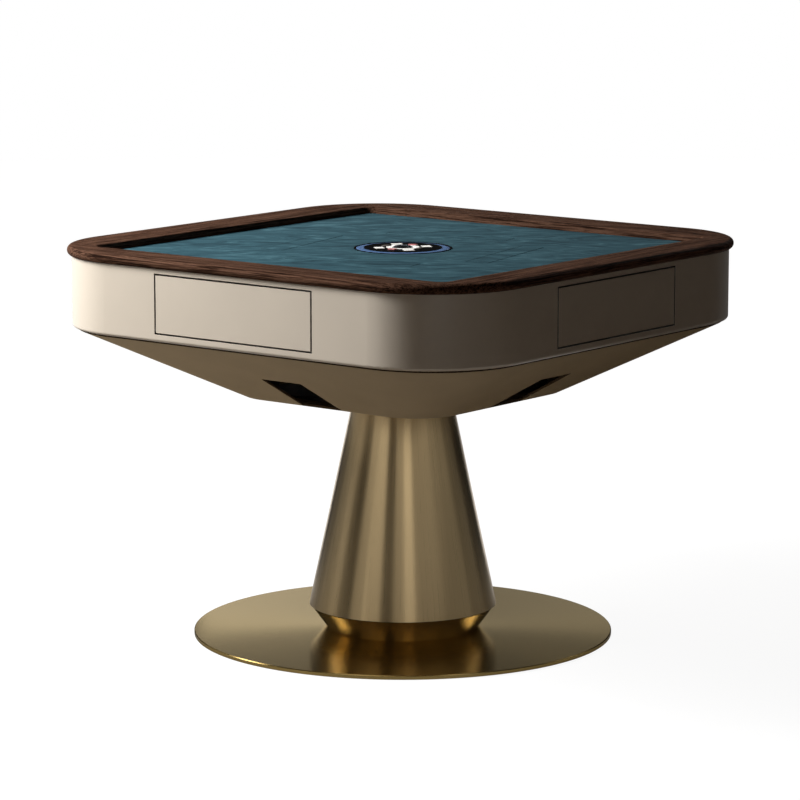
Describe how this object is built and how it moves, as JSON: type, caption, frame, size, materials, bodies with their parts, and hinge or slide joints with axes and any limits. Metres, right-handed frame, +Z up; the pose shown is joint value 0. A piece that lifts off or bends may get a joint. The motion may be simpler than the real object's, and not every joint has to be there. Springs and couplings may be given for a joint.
{
  "type": "mahjong table",
  "caption": "Square mahjong table with a walnut rim, felt field, flush drawers, tile lifts and a rising centre console, on a brass cone pedestal and disc base.",
  "frame": {"origin": "centre of the round base on the floor", "axes": "+Z up, -Y out of the front side, +X out of the right side"},
  "size_m": [1, 1, 0.749],
  "materials": {
    "pad_rubber": "matt moulded rubber",
    "weight_iron": "plain cut plate",
    "brushed_brass": "brushed bronze-gold metal, lacquered",
    "polished_brass": "polished bronze-gold metal",
    "structural_steel": "black powder coat",
    "bolt_steel": "zinc plated",
    "shroud_lacquer": "satin taupe lacquer",
    "fascia_lacquer": "satin cream lacquer on board",
    "walnut": "dark stained walnut, open grain, satin",
    "board_wood": "plain board",
    "felt": "teal suede-like playing felt",
    "lift_plastic": "felt-faced bar on a moulded carrier",
    "tray_plastic": "dark moulded tray",
    "rail_steel": "plain steel",
    "black_plastic": "black moulded plastic",
    "blue_plastic": "translucent blue plastic",
    "white_light": "white diffuser",
    "dome_clear": "clear moulded dome",
    "dice_white": "white dice",
    "key_pink": "pink translucent key",
    "key_grey": "smoked grey key",
    "drum_plastic": "grey moulded plastic",
    "wheel_rubber": "rubber tread",
    "motor_paint": "grey painted motor"
  },
  "bodies": {
    "table": {"base_disc": "brushed_brass", "base_neck": "polished_brass", "base_pads": "pad_rubber", "base_weight": "weight_iron", "chassis_base_plate": "structural_steel", "chassis_posts": "structural_steel", "console_collar": "black_plastic", "console_guide": "rail_steel", "control_box": "black_plastic", "drawer_latches": "black_plastic", "drawer_rails": "rail_steel", "drum_bearing": "drum_plastic", "fascia_back": "fascia_lacquer", "fascia_corners": "fascia_lacquer", "fascia_front": "fascia_lacquer", "fascia_left": "fascia_lacquer", "fascia_right": "fascia_lacquer", "felt_cover": "felt", "gear_motors": "motor_paint", "lift_guides": "black_plastic", "machine_deck": "structural_steel", "pedestal_bolts": "bolt_steel", "pedestal_column": "structural_steel", "pedestal_cone": "brushed_brass", "power_inlet": "black_plastic", "rim_back": "walnut", "rim_front": "walnut", "rim_left": "walnut", "rim_right": "walnut", "shroud": "shroud_lacquer", "tabletop_board": "board_wood"},
    "drawer_front": {"drawer_front_panel": "fascia_lacquer", "drawer_front_tray": "tray_plastic"},
    "drawer_right": {"drawer_right_panel": "fascia_lacquer", "drawer_right_tray": "tray_plastic"},
    "drawer_back": {"drawer_back_panel": "fascia_lacquer", "drawer_back_tray": "tray_plastic"},
    "drawer_left": {"drawer_left_panel": "fascia_lacquer", "drawer_left_tray": "tray_plastic"},
    "lift_front": {"lift_front_platform": "lift_plastic"},
    "lift_right": {"lift_right_platform": "lift_plastic"},
    "lift_back": {"lift_back_platform": "lift_plastic"},
    "lift_left": {"lift_left_platform": "lift_plastic"},
    "lift_front_drive": {"lift_front_crank": "rail_steel"},
    "lift_right_drive": {"lift_right_crank": "rail_steel"},
    "lift_back_drive": {"lift_back_crank": "rail_steel"},
    "lift_left_drive": {"lift_left_crank": "rail_steel"},
    "console": {"console_body": "black_plastic", "console_ring": "blue_plastic", "console_windows": "white_light", "dice_dome": "dome_clear", "dice": "dice_white", "console_stem": "rail_steel"},
    "console_drive": {"console_crank": "rail_steel"},
    "button_front": {"key_front": "key_pink"},
    "button_right": {"key_right": "key_grey"},
    "button_back": {"key_back": "key_pink"},
    "button_left": {"key_left": "key_grey"},
    "drum": {"shuffle_drum": "drum_plastic"},
    "drum_drive": {"drive_wheel": "wheel_rubber"}
  },
  "joints": [
    {"name": "drawer_front_slide", "type": "slide", "parent": "table", "child": "drawer_front", "axis": [0, -1, 0], "range_m": [0, 0.15]},
    {"name": "drawer_right_slide", "type": "slide", "parent": "table", "child": "drawer_right", "axis": [1, 0, 0], "range_m": [0, 0.15]},
    {"name": "drawer_back_slide", "type": "slide", "parent": "table", "child": "drawer_back", "axis": [0, 1, 0], "range_m": [0, 0.15]},
    {"name": "drawer_left_slide", "type": "slide", "parent": "table", "child": "drawer_left", "axis": [-1, 0, 0], "range_m": [0, 0.15]},
    {"name": "lift_front_slide", "type": "slide", "parent": "table", "child": "lift_front", "axis": [0, 0, 1], "range_m": [-0.05, 0]},
    {"name": "lift_front_crank_turn", "type": "hinge", "parent": "table", "child": "lift_front_drive", "pos_m": [0.02126, -0.21141, 0.6455], "axis": [0.2164, -0.9763, 0], "range_deg": [-60.2, 0.2]},
    {"name": "lift_right_slide", "type": "slide", "parent": "table", "child": "lift_right", "axis": [0, 0, 1], "range_m": [-0.05, 0]},
    {"name": "lift_right_crank_turn", "type": "hinge", "parent": "table", "child": "lift_right_drive", "pos_m": [0.21141, 0.02126, 0.6455], "axis": [0.9763, 0.2164, 0], "range_deg": [-60.2, 0.2]},
    {"name": "lift_back_slide", "type": "slide", "parent": "table", "child": "lift_back", "axis": [0, 0, 1], "range_m": [-0.05, 0]},
    {"name": "lift_back_crank_turn", "type": "hinge", "parent": "table", "child": "lift_back_drive", "pos_m": [-0.02126, 0.21141, 0.6455], "axis": [-0.2164, 0.9763, 0], "range_deg": [-60.2, 0.2]},
    {"name": "lift_left_slide", "type": "slide", "parent": "table", "child": "lift_left", "axis": [0, 0, 1], "range_m": [-0.05, 0]},
    {"name": "lift_left_crank_turn", "type": "hinge", "parent": "table", "child": "lift_left_drive", "pos_m": [-0.21141, -0.02126, 0.6455], "axis": [-0.9763, -0.2164, 0], "range_deg": [-60.2, 0.2]},
    {"name": "console_lift", "type": "slide", "parent": "table", "child": "console", "axis": [0, 0, 1], "range_m": [0, 0.045]},
    {"name": "console_crank_turn", "type": "hinge", "parent": "table", "child": "console_drive", "pos_m": [-0.041, -0.00909, 0.5275], "axis": [0.2164, -0.9763, 0], "range_deg": [-0.2, 60.2]},
    {"name": "button_front_press", "type": "slide", "parent": "console", "child": "button_front", "axis": [0, 0, 1], "range_m": [-0.0015, 0], "stiffness_N_per_m": 400},
    {"name": "button_right_press", "type": "slide", "parent": "console", "child": "button_right", "axis": [0, 0, 1], "range_m": [-0.0015, 0], "stiffness_N_per_m": 400},
    {"name": "button_back_press", "type": "slide", "parent": "console", "child": "button_back", "axis": [0, 0, 1], "range_m": [-0.0015, 0], "stiffness_N_per_m": 400},
    {"name": "button_left_press", "type": "slide", "parent": "console", "child": "button_left", "axis": [0, 0, 1], "range_m": [-0.0015, 0], "stiffness_N_per_m": 400},
    {"name": "drum_spin", "type": "hinge", "parent": "table", "child": "drum", "pos_m": [0, 0, 0.64], "axis": [0, 0, 1], "continuous": true},
    {"name": "drive_wheel_spin", "type": "hinge", "parent": "table", "child": "drum_drive", "pos_m": [0.11015, 0.1729, 0.65], "axis": [0, 0, 1], "continuous": true}
  ],
  "couplings": [
    {"joint": "lift_front_crank_turn", "follows": "lift_front_slide", "rad_per_m": 20.944},
    {"joint": "lift_right_crank_turn", "follows": "lift_right_slide", "rad_per_m": 20.944},
    {"joint": "lift_back_crank_turn", "follows": "lift_back_slide", "rad_per_m": 20.944},
    {"joint": "lift_left_crank_turn", "follows": "lift_left_slide", "rad_per_m": 20.944},
    {"joint": "console_crank_turn", "follows": "console_lift", "rad_per_m": 23.271},
    {"joint": "drive_wheel_spin", "follows": "drum_spin", "ratio": -7.2874}
  ]
}
